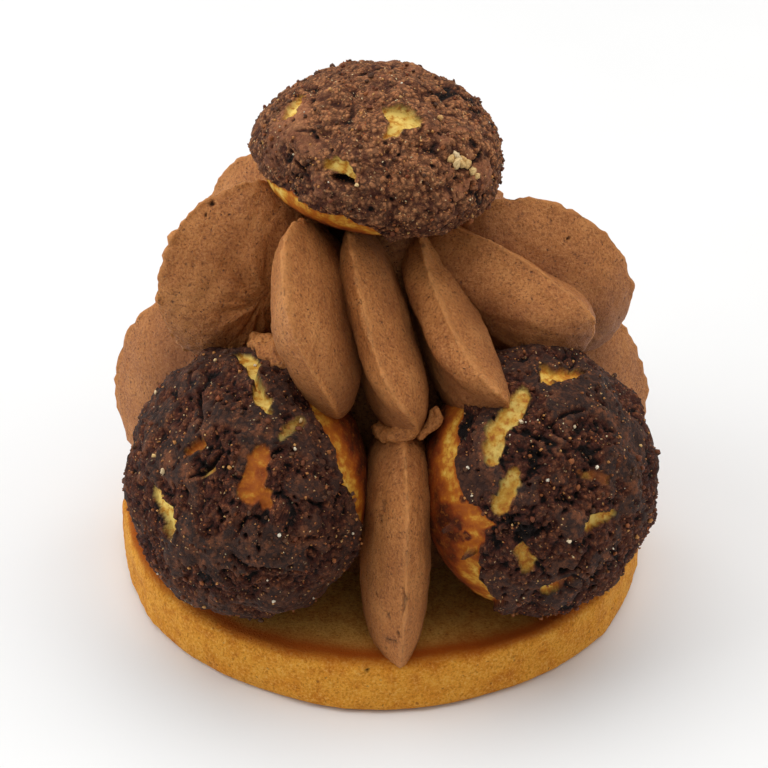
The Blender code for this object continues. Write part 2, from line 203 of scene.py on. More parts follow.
# Large grains of sugar on a crust: longitude, latitude, width in millimetres, tone (0 tan, 1 white)
GRAINS = {
    "chou_left": (
        (61, 26, 0.6, 0.6), (96, 39, 0.6, 0.7), (83, 77, 0.8, 0.5), (40, 84, 0.9, 0.7), (63, 65, 0.5, 0.2),
        (-13, 51, 0.8, 0.1), (18, 57, 0.4, 0.3), (3, 16, 0.7, 0.6), (-9, 21, 0.5, 0.9), (-49, 27, 0.6, 1.0),
        (-84, 14, 0.5, 1.0), (-106, 48, 0.5, 0.1), (-119, 25, 0.6, 0.2), (44, 16, 0.6, 0.9),
        (-76, 4, 0.4, 0.8),
    ),
    "chou_right": (
        (179, 27, 0.7, 0.8), (176, 34, 0.4, 0.8), (165, 49, 0.5, 0.8), (-172, 47, 0.4, 0.2),
        (-153, 43, 0.7, 1.0), (-157, 10, 0.5, 1.0), (-145, 11, 0.4, 0.9), (-112, 48, 0.6, 0.8),
        (-27, 59, 0.7, 0.1), (-48, 67, 0.4, 0.2), (80, 66, 0.5, 0.4),
    ),
    "chou_back": ((10, 40, 0.6, 0.7), (-60, 62, 0.6, 0.3), (140, 50, 0.7, 0.8), (90, 25, 0.5, 0.1)),
    "chou_top": (
        (-40, 46, 0.8, 0.3), (-100, 15, 0.7, 0.6), (-97, 84, 0.4, 0.2), (-155, 56, 0.5, 0.2),
        (-68, 65, 0.5, 0.3), (-111, 52, 0.5, 0.1), (-65, 36, 0.4, 0.2),
        (-50, 25, 1.4, 0.45), (-48, 22, 1.5, 0.6), (-47, 25, 1.2, 0.7), (-45, 20, 1.5, 0.5),
        (-44, 23, 1.3, 0.65), (-42, 19, 1.4, 0.5), (-42, 22, 1.1, 0.35), (-40, 16, 1.3, 0.55),
        (-39, 19, 1.0, 0.4), (-38, 13, 0.9, 0.5),
    ),
}

# Colours of a crust's rubble, plates and pale crumbs, of the painted shade on its lower part towards the
# rim, and its share of pale specks
DARK_CRUST = (102, 54, 34), (56, 39, 33), (158, 94, 58), (66, 38, 28), 0.04
LIGHT_CRUST = (190, 122, 78), (164, 102, 68), (214, 148, 98), (84, 46, 30), 0.14

SIDE_CRUMBS, TOP_CRUMBS = (-0.10, 1.1), (0.28, 0.62)  # how rare a crust's plates are, and its coarseness
SKIN_CELLS, HIDDEN_CELLS = 108, 76  # quads along each side of the cube that a chou's skin is made from
SMALL_GRAINS, CRUMBS = 620, 150  # grains of sugar and dark crumbs scattered on each crust

# ---- What the cream looks like ----
# On a stroke, a place is its distance in millimetres along, sideways and across towards the ridge.

# Pores: place and radius
PORES = {
    "cream_petal_01": (
        (-6.2, -2.6, 5.9, 0.22), (-4.6, -0.7, 4.9, 0.18), (-0.8, -3.8, 7.0, 0.32), (8.6, 0.4, 3.7, 0.24),
    ),
    "cream_petal_02": ((6.8, -3.8, 7.0, 0.40), (3.3, -4.0, -4.5, 0.40), (2.6, -4.1, 6.9, 0.2)),
    "cream_petal_03": (
        (2.0, -3.8, 5.7, 0.46), (-1.3, -3.9, 5.6, 0.33), (-4.5, -3.5, 5.4, 0.33), (-7.9, -3.8, 2.6, 0.33),
        (6.4, -4.3, 3.3, 0.2),
    ),
    "cream_petal_04": ((-5.4, -4.1, 5.2, 0.25), (-1.1, -2.5, 9.5, 0.2)),
    "cream_petal_09": ((-6.2, 0.5, 12.1, 0.40), (-4.5, 1.0, 12.3, 0.26)),
    "cream_petal_10": ((-5.6, 1.6, 4.3, 0.2), (4.9, 0.0, 6.2, 0.18), (6.6, -5.1, 9.6, 0.22)),
    "cream_wedge_front": (
        (10.6, -1.1, 10.3, 0.3), (12.5, 0.2, 11.7, 0.3), (7.9, -3.1, 7.3, 0.26), (8.2, -2.8, 7.9, 0.24),
    ),
}

# Slits: depth, and the place and half width of each stop
SLITS = {
    "cream_petal_01": (
        (0.35, (-6.9, -4.7, 6.6, 0.12), (-7.2, -4.1, 6.6, 0.16), (-7.3, -3.1, 6.1, 0.14),
            (-5.9, -0.8, 4.8, 0.1)),
    ),
    "cream_petal_02": (
        (0.35, (-8.7, -3.1, 6.4, 0.12), (-8.5, -2.9, 7.0, 0.16), (-7.9, -2.7, 7.7, 0.12)),
    ),
    "cream_wedge_front": (
        (0.7, (-5.7, -2.3, 8.4, 0.2), (-4.7, -2.3, 8.6, 0.14)),
        (0.7, (-3.7, -2.5, 8.3, 0.2), (-2.6, -2.6, 8.3, 0.12)),
        (0.5, (5.3, 0.9, 13.3, 0.25), (6.7, 1.0, 13.3, 0.32), (8.3, 0.9, 13.1, 0.2)),
        (0.4, (15.4, -3.6, 3.0, 0.1), (14.9, -3.4, 5.0, 0.14), (14.3, -1.3, 9.1, 0.14),
            (13.8, 0.2, 11.4, 0.1)),
    ),
}
WRINKLES = {"cream_petal_09": (2.5, 0.0)}  # where its wrinkles meet: along, across

# Scraps of cream squeezed out between the strokes: lines of (x, y, z, radius) in the frame
SCRAPS = {
    "cream_scrap_left": (
        (-19.0, -10.2, 43.2, 1.2), (-17.2, -14.6, 45.2, 2.0), (-15.2, -18.8, 46.4, 1.8),
        (-13.4, -22.2, 46.6, 1.0),
    ),
    "cream_scrap_collar": (
        (-1.6, -21.0, 36.0, 0.7), (0.2, -24.0, 37.6, 1.3), (2.4, -26.6, 38.8, 1.5), (4.6, -27.6, 40.2, 1.1),
    ),
    "cream_scrap_curl": (
        (5.0, -26.6, 38.2, 0.8), (6.6, -25.6, 39.4, 0.9), (7.6, -24.6, 40.8, 1.0), (7.6, -24.4, 42.2, 0.6),
    ),
}
SCRAP_RINGS, SCRAP_TURNS = 42, 48  # rings along a scrap, and points round each

RIDGE_WIDTH = 0.4  # half the width of the torn band along a ridge
# Quads round a stroke's outline, and from one of its sides to the other
FINE, COARSE = (216, 72), (112, 40)
SHOWN = ["cream_wedge_front"] + [f"cream_petal_{number}" for number in ("01", "02", "03", "04", "09", "10")]
CORE_LEVELS, CORE_TURNS = 98, 160  # rings of the core, and points round each
CORE_FOLDS, FOLD_DEPTH, FOLD_LEAN = 17, 0.35, 9.0  # its folds, which shift by a radian each 9 mm up

# ---- What the biscuit looks like ----

BISCUIT_TURNS = 450
BROWNED_RADIUS, BROWNED_WIDTH = 37.1, 2.1  # the browned ring on its face


# ---- Noise ----


def scramble(cells, seed):
    """A number from 0 to 1 for each whole-numbered cell, the same each time for the same seed."""
    cells = cells.astype(np.int64)
    mixed = seed * 668265263
    for axis, prime in enumerate((73856093, 19349663, 83492791)):
        mixed = mixed ^ cells[..., axis] * prime
    mixed = (mixed ^ (mixed >> 13)) * 1274126177
    return ((mixed ^ (mixed >> 16)) & 0xFFFFFF) / 0xFFFFFF


def soft_noise(points, size, seed=0):
    """Smooth noise from -1 to 1 whose lumps are about one size apart."""
    scaled = points / size + 17.31 * seed
    low = np.floor(scaled)
    part = scaled - low
    part = part * part * (3.0 - 2.0 * part)
    total = 0.0
    for corner in itertools.product((0, 1), repeat=3):
        weight = np.prod(np.where(corner, part, 1.0 - part), axis=-1)
        total = total + weight * scramble(low + corner, seed)
    return 2.0 * total - 1.0


def pebbles(points, size, seed=0):
    """For scattered pebbles about one size apart: a point's distance to the nearest and to the
    second nearest, as shares of the size, and a random number for the nearest."""
    scaled = points / size
    home = np.floor(scaled)
    nearest = np.full(len(points), 9.0)
    second = nearest.copy()
    pick = np.zeros(len(points))
    for step in itertools.product((-1, 0, 1), repeat=3):
        cell = home + step
        heart = cell + np.stack([scramble(cell, 10 * seed + axis) for axis in range(3)], axis=-1)
        gap = np.linalg.norm(scaled - heart, axis=-1)
        second = np.minimum(second, np.maximum(gap, nearest))
        pick = np.where(gap < nearest, scramble(cell, 10 * seed + 3), pick)
        nearest = np.minimum(nearest, gap)
    return nearest, second, pick


def ease(value, low, high):
    """0 below low, 1 above high, and a smooth step between them."""
    share = np.clip((value - low) / (high - low), 0.0, 1.0)
    return share * share * (3.0 - 2.0 * share)


def distance_to_line(points, line):
    """How far each point is outside a line of balls: each is a centre and a radius in the last place."""
    best = np.full(len(points), np.inf)
    stops = [np.array(stop, float) for stop in line]
    for start, end in zip(stops, stops[1:]):
        way = end[:3] - start[:3]
        share = np.clip((points - start[:3]) @ way / (way @ way), 0.0, 1.0)
        gap = np.linalg.norm(points - start[:3] - share[:, None] * way, axis=1)
        best = np.minimum(best, gap - (start[3] + share * (end[3] - start[3])))
    return best


# ---- Meshes ----


def outward(azimuth):
    turn = math.radians(azimuth)
    return np.array([math.sin(turn), -math.cos(turn), 0.0])


def placed(matrix, points):
    """The points moved by a 4x4 matrix."""
    matrix = np.array(matrix)
    return points @ matrix[:3, :3].T + matrix[:3, 3]


def normals_of(points, faces):
    """Unit normals at the points of a mesh of quads, or of triangles with their last corner twice."""
    across = points[faces[:, 2]] - points[faces[:, 0]]
    down = points[faces[:, 3]] - points[faces[:, 1]]
    facing = np.cross(across, down)
    total = np.zeros_like(points)
    for corner in range(4):
        np.add.at(total, faces[:, corner], facing)
    return total / np.maximum(np.linalg.norm(total, axis=1, keepdims=True), 1e-12)


def ball(cells):
    """Unit vectors and quads of a sphere made from a cube with cells x cells quads on each side."""
    steps = np.tan(np.linspace(-math.pi / 4, math.pi / 4, cells + 1))
    first, second = np.meshgrid(steps, steps, indexing="ij")
    number = np.arange((cells + 1) ** 2).reshape(cells + 1, cells + 1)
    quads = np.stack([number[:-1, :-1], number[1:, :-1], number[1:, 1:], number[:-1, 1:]], axis=-1)
    points, faces = [], []
    for axis, sign in itertools.product(range(3), (1.0, -1.0)):
        side = np.empty((cells + 1, cells + 1, 3))
        side[..., axis] = sign
        side[..., (axis + 1) % 3] = first
        side[..., (axis + 2) % 3] = second * sign
        faces.append(quads.reshape(-1, 4) + len(points) * number.size)
        points.append(side.reshape(-1, 3))
    points = np.concatenate(points)
    points /= np.linalg.norm(points, axis=1, keepdims=True)
    _, first_of, merged = np.unique(np.round(points, 6), axis=0, return_index=True, return_inverse=True)
    return points[first_of], merged.reshape(-1)[np.concatenate(faces)]


def turned(radius, height, turn, first, last):
    """Points of a turned shape: a ring for each row of radius, between poles at two heights."""
    height = np.broadcast_to(height, radius.shape)
    ring = np.stack([radius * np.cos(turn), radius * np.sin(turn), height], axis=-1)
    return np.concatenate([[[0.0, 0.0, first]], ring.reshape(-1, 3), [[0.0, 0.0, last]]])


def tube_faces(rows, turns):
    """Quads of rows of points, each row a closed ring, with a pole before the first and after the last."""
    number = 1 + np.arange(rows * turns).reshape(rows, turns)
    beside = np.roll(number, -1, axis=1)
    sides = np.stack([number[:-1], beside[:-1], beside[1:], number[1:]], axis=-1).reshape(-1, 4)
    first = np.stack([np.zeros(turns, int), np.zeros(turns, int), beside[0], number[0]], axis=-1)
    last = rows * turns + 1
    end = np.full(turns, last)
    final = np.stack([number[-1], beside[-1], end, end], axis=-1)
    return np.concatenate([first, sides, final])


def add_mesh(name, points, faces, finish, slot, **values):
    """A piece of the cake: its mesh in metres, its material, and one attribute for each of values."""
    mesh = bpy.data.meshes.new(name)
    corners = [[corner for corner, _ in itertools.groupby(face)] for face in faces.tolist()]
    corners = [face[:-1] if face[0] == face[-1] else face for face in corners]
    mesh.from_pydata((points * MM).tolist(), [], corners)
    mesh.validate()
    mesh.shade_smooth()
    for key, numbers in values.items():
        attribute = mesh.attributes.new(key, "FLOAT", "POINT")
        attribute.data.foreach_set("value", np.asarray(numbers, np.float32))
    mesh.materials.append(finish)
    obj = bpy.data.objects.new(name, mesh)
    bpy.context.scene.collection.objects.link(obj)
    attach(obj, "root")
    return obj


# ---- Materials ----


def paint(red, green, blue):
    """A colour given as 0 to 255 on a screen, as the linear colour that shaders use."""
    shares = [part / 255 for part in (red, green, blue)]
    linear = [((share + 0.055) / 1.055) ** 2.4 if share > 0.04 else share / 12.92 for share in shares]
    return (*linear, 1.0)


class Finish:
    """A Principled material whose nodes are added call by call. Sizes are in millimetres."""

    def __init__(self, name, roughness):
        self.material = bpy.data.materials.new(name)
        self.material.use_nodes = True
        self.tree = self.material.node_tree
        self.shader = self.tree.nodes["Principled BSDF"]
        self.shader.inputs["Roughness"].default_value = roughness
        self.place = self.tree.nodes.new("ShaderNodeTexCoord").outputs["Object"]
        self.bent = self.bend(0.9, 0.9)

    def connect(self, value, socket):
        if isinstance(value, bpy.types.NodeSocket):
            self.tree.links.new(value, socket)
        else:
            socket.default_value = value

    def surface(self, **inputs):
        for name, value in inputs.items():
            self.connect(value, self.shader.inputs[name.replace("_", " ")])

    def attribute(self, name):
        node = self.tree.nodes.new("ShaderNodeAttribute")
        node.attribute_name = name
        return node.outputs["Fac"]

    def noise(self, size, detail=2.0, roughness=0.5):
        node = self.tree.nodes.new("ShaderNodeTexNoise")
        self.connect(self.place, node.inputs["Vector"])
        node.inputs["Scale"].default_value = 1.0 / (size * MM)
        node.inputs["Detail"].default_value = detail
        node.inputs["Roughness"].default_value = roughness
        return node.outputs["Fac"]

    def bend(self, size, amount):
        """The place, pushed about by noise so that cells get uneven outlines."""
        push = self.tree.nodes.new("ShaderNodeTexNoise")
        self.connect(self.place, push.inputs["Vector"])
        push.inputs["Scale"].default_value = 1.0 / (size * MM)
        node = self.tree.nodes.new("ShaderNodeVectorMath")
        node.operation = "MULTIPLY_ADD"
        self.connect(push.outputs["Color"], node.inputs[0])
        node.inputs[1].default_value = (amount * MM,) * 3
        self.connect(self.place, node.inputs[2])
        return node.outputs[0]

    def cells(self, size):
        """Distance to the nearest scattered point, and a random colour for it."""
        node = self.tree.nodes.new("ShaderNodeTexVoronoi")
        self.connect(self.bent, node.inputs["Vector"])
        node.inputs["Scale"].default_value = 1.0 / (size * MM)
        return node.outputs["Distance"], node.outputs["Color"]

    def ramp(self, value, *stops):
        node = self.tree.nodes.new("ShaderNodeValToRGB")
        self.connect(value, node.inputs["Fac"])
        elements = node.color_ramp.elements
        while len(elements) < len(stops):
            elements.new(0.5)
        for element, (place, colour) in zip(elements, stops):
            element.position = place
            element.color = colour
        return node.outputs["Color"]

    def span(self, value, low, high, to_low=0.0, to_high=1.0):
        """The value's range low to high, spread over another range and held at its ends."""
        node = self.tree.nodes.new("ShaderNodeMapRange")
        for number, part in enumerate((value, low, high, to_low, to_high)):
            self.connect(part, node.inputs[number])
        return node.outputs["Result"]

    def mix(self, share, low, high):
        node = self.tree.nodes.new("ShaderNodeMix")
        node.data_type = "RGBA"
        self.connect(share, node.inputs["Factor"])
        self.connect(low, node.inputs[6])
        self.connect(high, node.inputs[7])
        return node.outputs[2]

    def combine(self, operation, first, second):
        node = self.tree.nodes.new("ShaderNodeMath")
        node.operation = operation
        self.connect(first, node.inputs[0])
        self.connect(second, node.inputs[1])
        return node.outputs[0]

    def times(self, first, second):
        return self.combine("MULTIPLY", first, second)

    def veil(self, colour, over, value, *limits):
        """The colour with another laid over it, as much as the value's span says."""
        return self.mix(self.span(value, *limits), colour, paint(*over))

    def soft(self, weight, radii):
        """Light that goes a little way in: its weight, and its reach in red, green and blue."""
        self.surface(
            Subsurface_Weight=weight,
            Subsurface_Radius=tuple(radius * MM for radius in radii),
            Subsurface_Scale=1.0,
        )

    def bump(self, height, depth, below=None):
        """A normal from a height of 0 to 1 that stands for this depth."""
        node = self.tree.nodes.new("ShaderNodeBump")
        node.inputs["Distance"].default_value = depth * MM
        self.connect(height, node.inputs["Height"])
        if below:
            self.connect(below, node.inputs["Normal"])
        return node.outputs["Normal"]


def chou_finish(name, rubble, plate, pale, lower_crust_shade, speck_share):
    """Golden bun where the attribute crust is 0, crumbly cocoa crust where it is 1."""
    finish = Finish(name, 0.7)
    crust = finish.attribute("crust")
    deep = finish.attribute("deep")

    mottle = finish.noise(1.6, 4.0, 0.6)
    baked = finish.combine("ADD", finish.attribute("browning_and_shade"), finish.span(mottle, 0.3, 0.7, -0.26, 0.26))
    bun = finish.ramp(
        baked,
        (0.00, paint(228, 198, 106)),
        (0.22, paint(204, 152, 54)),
        (0.45, paint(172, 95, 20)),
        (0.70, paint(132, 56, 13)),
        (1.00, paint(66, 26, 9)),
    )
    bun = finish.veil(bun, (164, 90, 28), finish.noise(0.8, 3.0, 0.6), 0.52, 0.66, 0.0, 0.60)
    # Painted shade: the bun darker inside the cracks that reach it.
    bun = finish.veil(bun, (60, 32, 14), deep, 0.2, 1.0)

    flake = finish.attribute("flake")
    rubbly = finish.span(flake, 0.0, 1.0, 1.0, 0.4)
    cocoa = finish.mix(flake, paint(*rubble), paint(*plate))
    cloudy = finish.noise(2.4, 5.0, 0.7)
    cocoa = finish.veil(cocoa, (34, 18, 13), cloudy, 0.36, 0.48, 0.70, 0.0)
    cocoa = finish.veil(cocoa, pale, cloudy, 0.52, 0.64, 0.0, 0.60)
    # Painted shade: the crust's lower part darker towards its rim, patchy with noise.
    cocoa = finish.veil(cocoa, lower_crust_shade, finish.attribute("browning_and_shade"), 0.5, 0.95, 0.0, 0.6)
    distance, pick = finish.cells(0.55)
    for value, over, limits in (
        (pick, pale, (0.45, 0.75, 0.0, 0.45)),
        (pick, (40, 20, 14), (0.25, 0.45, 0.45, 0.0)),
        # painted shade in the gaps between the crumbs
        (distance, (30, 14, 10), (0.38, 0.62, 0.0, 0.60)),
    ):
        cocoa = finish.mix(finish.times(finish.span(value, *limits), rubbly), cocoa, paint(*over))
    # Painted shade: darker in the crust's pits, crevices, grooves and cracks, nearly black in the deepest.
    cocoa = finish.veil(cocoa, (70, 26, 15), deep, 0.08, 0.45, 0.0, 0.75)
    cocoa = finish.veil(cocoa, (15, 8, 6), deep, 0.38, 0.85, 0.0, 0.97)

    speck_distance, speck_pick = finish.cells(0.42)
    speck = finish.ramp(
        finish.noise(0.9, 2.0),
        (0.36, paint(156, 70, 32)),
        (0.46, paint(190, 116, 60)),
        (0.56, paint(220, 168, 106)),
        (0.66, paint(248, 228, 180)),
    )
    clusters = finish.span(finish.noise(3.2, 2.0), 0.42, 0.56, 0.25, 1.0)
    chosen = finish.times(finish.span(speck_pick, 0.78 - speck_share, 0.79 - speck_share), clusters)
    speckled = finish.times(chosen, finish.span(speck_distance, 0.24, 0.36, 0.9, 0.0))
    cocoa = finish.mix(speckled, cocoa, speck)

    fine = finish.noise(0.24, 3.0, 0.7)
    beads = finish.times(finish.span(distance, 0.0, 0.6, 0.9, 0.0), rubbly)
    rough = finish.bump(finish.times(finish.combine("ADD", fine, beads), crust), 0.36)
    finish.surface(
        Base_Color=finish.mix(crust, bun, cocoa),
        Normal=finish.bump(finish.noise(0.5, 3.0, 0.6), 0.06, rough),
        Specular_IOR_Level=0.2,
    )
    finish.soft(0.03, (0.6, 0.3, 0.2))
    return finish.material


def cream_finish():
    """Whipped chocolate cream: fine suede grain and pinholes, with a painted highlight along the ridges and
    painted shade towards the roots, in the pinholes and in the hollows.
    """
    finish = Finish("chocolate_cream", 0.54)
    edge = finish.attribute("edge")
    deep = finish.attribute("deep")
    colour = finish.ramp(
        finish.noise(5.0, 3.0, 0.5),
        (0.32, paint(174, 105, 49)),
        (0.52, paint(189, 118, 57)),
        (0.70, paint(204, 134, 71)),
    )
    distance, pick = finish.cells(0.55)
    fine = finish.noise(0.42, 4.0, 0.75)
    colour = finish.veil(colour, (212, 150, 88), fine, 0.51, 0.64, 0.0, 0.62)
    colour = finish.veil(colour, (104, 55, 22), fine, 0.36, 0.48, 0.72, 0.0)
    # Painted shade inside the pinholes.
    pinhole = finish.times(finish.span(pick, 0.68, 0.72), finish.span(distance, 0.12, 0.30, 1.0, 0.0))
    colour = finish.mix(finish.times(pinhole, 0.7), colour, paint(78, 42, 20))
    # Painted shade towards the stroke's root.
    colour = finish.veil(colour, (116, 62, 28), edge, -0.8, 0.0, 0.55, 0.0)
    # Painted highlight along the ridge.
    colour = finish.veil(colour, (216, 146, 80), edge, 0.0, 1.0, 0.0, 0.5)
    # Painted shade in the pores, slits and wrinkle hollows, and evenly over the core.
    colour = finish.veil(colour, (50, 25, 12), deep, 0.05, 1.0)
    height = finish.combine("SUBTRACT", fine, finish.times(pinhole, 0.8))
    finish.surface(
        Base_Color=colour,
        Normal=finish.bump(finish.noise(0.26, 3.0, 0.7), 0.18, finish.bump(height, 0.36)),
        Specular_IOR_Level=0.38,
    )
    finish.soft(0.08, (1.0, 0.5, 0.25))
    return finish.material


def biscuit_finish():
    """Baked shortcrust: golden grainy side, dark tan face, and a browned ring inside its rim."""
    finish = Finish("biscuit", 0.7)
    cloudy = finish.noise(3.0, 5.0, 0.65)
    side = finish.ramp(
        cloudy,
        (0.28, paint(204, 116, 26)),
        (0.46, paint(230, 151, 43)),
        (0.62, paint(240, 167, 57)),
        (0.78, paint(214, 125, 30)),
    )
    top = finish.ramp(cloudy, (0.3, paint(200, 132, 54)), (0.7, paint(234, 178, 88)))
    colour = finish.mix(finish.attribute("face"), side, top)
    distance, pick = finish.cells(0.9)
    specks = finish.times(finish.span(distance, 0.16, 0.28, 0.7, 0.0), finish.span(pick, 0.72, 0.76))
    colour = finish.mix(specks, colour, paint(150, 80, 30))
    fine = finish.noise(0.4, 4.0, 0.7)
    colour = finish.veil(colour, (246, 194, 102), fine, 0.52, 0.64, 0.0, 0.6)
    colour = finish.veil(colour, (174, 94, 14), fine, 0.36, 0.48, 0.62, 0.0)
    colour = finish.mix(finish.times(finish.attribute("brown"), 0.95), colour, paint(176, 78, 4))
    # Painted shade in the pits.
    colour = finish.veil(colour, (70, 34, 14), finish.attribute("deep"), 0.1, 1.0)
    finish.surface(
        Base_Color=colour,
        Normal=finish.bump(finish.noise(0.22, 3.0, 0.7), 0.16, finish.bump(fine, 0.46)),
        Specular_IOR_Level=0.15,
    )
    finish.soft(0.05, (1.5, 0.8, 0.4))
    return finish.material


def grain_finish():
    """Sugar and crumbs, from dark cocoa through tan to white by the attribute tone."""
    finish = Finish("sugar_grains", 0.55)
    colour = finish.ramp(
        finish.attribute("tone"),
        (0.00, paint(66, 36, 24)),
        (0.25, paint(132, 60, 30)),
        (0.50, paint(206, 142, 76)),
        (0.75, paint(232, 196, 130)),
        (1.00, paint(246, 236, 214)),
    )
    colour = finish.veil(colour, (120, 84, 50), finish.noise(0.3), 0.3, 0.7, 0.0, 0.4)
    rough = finish.bump(finish.noise(0.3, 3.0), 0.2)
    finish.surface(Base_Color=colour, Normal=rough, Specular_IOR_Level=0.25)
    return finish.material


# ---- Choux ----


def bun_points(directions, diameter, height, form):
    """The smooth bun for each direction of a sphere, its axis up and its base at zero."""
    waist, foot, fullness = form
    latitude = np.arcsin(np.clip(directions[:, 2], -1.0, 1.0)) / (math.pi / 2)
    longitude = np.arctan2(directions[:, 1], directions[:, 0])
    climbed = np.clip((latitude - BASE_LATITUDE) / (1.0 - BASE_LATITUDE), 0.0, 1.0)
    share = 0.5 - 0.5 * np.cos(math.pi * climbed)
    below = 1.0 - (1.0 - foot) * np.clip((waist - share) / waist, 0.0, 1.0) ** fullness
    up_dome = np.clip((share - waist) / (1.0 - waist), 0.0, 1.0)
    above = np.sqrt(np.clip(1.0 - up_dome**DOME_POWER, 0.0, 1.0))
    radius = np.where(share < waist, below, above)
    radius = np.where(latitude < BASE_LATITUDE, foot * (latitude + 1.0) / (BASE_LATITUDE + 1.0), radius)
    radius = radius * diameter / 2
    return np.stack([radius * np.cos(longitude), radius * np.sin(longitude), share * height], axis=1)


def crags(points, seed):
    """The same crags as the CAD crust has."""
    heights = []
    for point in points.tolist():
        where = Vector(point) / CRAG_SIZE + Vector((seed, 2.0 * seed, -seed))
        heights.append(noise.noise(where) + 0.5 * noise.noise(where * 2.1))
    return np.array(heights)


def aimed(places):
    """(longitude, latitude, half width) as points on a sphere of 57.3, so that distances are degrees."""
    for longitude, latitude, half_width in places:
        turn, climb = math.radians(longitude), math.radians(latitude)
        flat = math.cos(climb)
        way = (flat * math.cos(turn), flat * math.sin(turn), math.sin(climb))
        yield (*(math.degrees(part) for part in way), half_width)


def outside_spots(in_degrees, spots, torn):
    """For each of a chou's torn round spots, how far each point is outside it."""
    for spot in aimed(spots):
        yield np.linalg.norm(in_degrees - np.array(spot[:3]), axis=1) - spot[3] + 0.6 * torn


def crust_cover(name, aims, points, seed):
    """Share of the crust that is there at each point, and how browned the bun is where it isn't, with the
    painted shade on the crust's lower part towards its rim added in.
    """
    longitude = np.degrees(np.arctan2(aims[:, 1], aims[:, 0]))
    latitude = np.degrees(np.arcsin(np.clip(aims[:, 2], -1.0, 1.0)))
    ragged = 1.3 * soft_noise(points, 2.6, seed) + 0.9 * soft_noise(points, 1.1, seed + 20)
    rim = np.interp(longitude, *zip(*RIMS[name]), period=360.0)
    above_rim = latitude - rim + 1.2 * ragged
    cover = ease(above_rim, -0.2, 0.7)
    browning_and_shade = 1.0 - 0.68 * ease(above_rim, -22.0, -3.5) + 0.30 * ease(above_rim, -2.5, 0.0)
    browning_and_shade += 0.25 * soft_noise(points, 6.0, seed + 30)
    # Painted shade: the crust darker on its lower part, down towards its rim.
    browning_and_shade += 0.56 * cover * ease(above_rim, 42.0, 5.0)
    in_degrees = aims * math.degrees(1.0)
    torn = 1.1 * soft_noise(points, 1.5, seed + 21) + 0.9 * soft_noise(points, 0.7, seed + 22)
    for browned, openness, *line in BARE[name]:
        outside = distance_to_line(in_degrees, aimed(line)) + torn
        cover = np.minimum(cover, 1.0 - openness * (1.0 - ease(outside, 0.3, 1.1)))
        browning_and_shade = np.where(outside < 3.0, browned, browning_and_shade)
    for outside in outside_spots(in_degrees, BITS.get(name, ()), torn):
        cover = np.maximum(cover, 0.9 * (1.0 - ease(outside, -0.3, 0.6)))
    for outside in outside_spots(in_degrees, SCORCH.get(name, ()), torn):
        browning_and_shade = np.maximum(browning_and_shade, 1.15 * (1.0 - ease(outside, -0.8, 1.2)))
    return cover, browning_and_shade


def crust_grain(points, seed, plates, amount):
    """Height of the crust's crumbs in millimetres, the painted shade that darkens its pits,
    crevices and grooves, and how much it is on a plate: plates are smooth and stand a little above the
    rubble between them."""
    bent = points + 0.9 * np.stack([soft_noise(points, 2.2, seed + 40 + axis) for axis in range(3)], axis=1)
    field = soft_noise(bent, 4.2, seed + 50) + 0.6 * soft_noise(bent, 1.9, seed + 51)
    plate = ease(field, plates, plates + 0.22)
    rubble = 1.0 - 0.75 * plate
    near, second, _ = pebbles(bent, 1.8, seed)
    height = 0.34 * plate + 0.80 * rubble * (0.34 - near**2)
    groove = 1.0 - ease(second - near, 0.02, 0.20)
    near, second, pick = pebbles(bent, 0.95, seed + 1)
    height += 0.62 * rubble * (0.34 - near**2)
    groove = np.maximum(groove, 1.0 - ease(second - near, 0.0, 0.24)) * rubble
    pit = (pick > 0.80) * (1.0 - ease(near, 0.20, 0.48))
    wander = np.abs(soft_noise(bent, 5.5, seed + 52) + 0.3 * soft_noise(points, 1.6, seed + 54))
    crevice = (1.0 - ease(wander, 0.02, 0.12)) * ease(soft_noise(points, 6.0, seed + 53), 0.05, 0.4)
    height -= 0.75 * pit + 0.55 * crevice + 0.16 * groove
    height += (0.10 + 0.16 * rubble) * soft_noise(points, 0.6, seed + 60)
    # Painted shade: darker in crevices, pits and grooves, and low down among the crumbs.
    deep = 0.6 * crevice + 0.8 * pit + 0.35 * groove + 1.1 * (0.02 - height)
    return amount * height, np.clip(amount * deep, 0.0, 1.0), plate


def add_chou(name, seed, diameter, height, form, matrix, skin, finish, *crumbs):
    """One chou with its crust. Returns its points and normals in the frame, how much crust is at each
    point, and each point's direction from the bun's middle."""
    directions, faces = skin
    points = bun_points(directions, diameter, height, form)
    aims = points - np.array([0.0, 0.0, height * form[0]])
    aims /= np.linalg.norm(aims, axis=1, keepdims=True)
    cover, browning_and_shade = crust_cover(name, aims, points, seed)
    grain, deep, flake = crust_grain(points, seed, *crumbs)
    bare = 0.10 * soft_noise(points, 1.8, seed + 70) + 0.05 * soft_noise(points, 0.7, seed + 71)
    crusty = CRUST_THICKNESS + CRAG_DEPTH * crags(points, seed) + grain
    relief = cover * crusty + (1.0 - cover) * bare
    deep = deep * cover
    in_degrees = aims * math.degrees(1.0)
    for depth, *line in CRACKS[name]:
        outside = distance_to_line(in_degrees, aimed(line)) + 0.5 * soft_noise(points, 1.0, seed + 80)
        inside = 1.0 - ease(outside, -0.4, 0.6)
        relief -= depth * inside
        # painted shade inside the crack
        deep = np.maximum(deep, inside)
    points = placed(matrix, points + aims * relief[:, None])
    values = {"crust": cover, "deep": deep, "browning_and_shade": browning_and_shade, "flake": flake}
    obj = add_mesh(name + "_baked", points, faces, finish, "chou", **values)
    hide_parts(name)
    return points, normals_of(points, faces), cover, aims


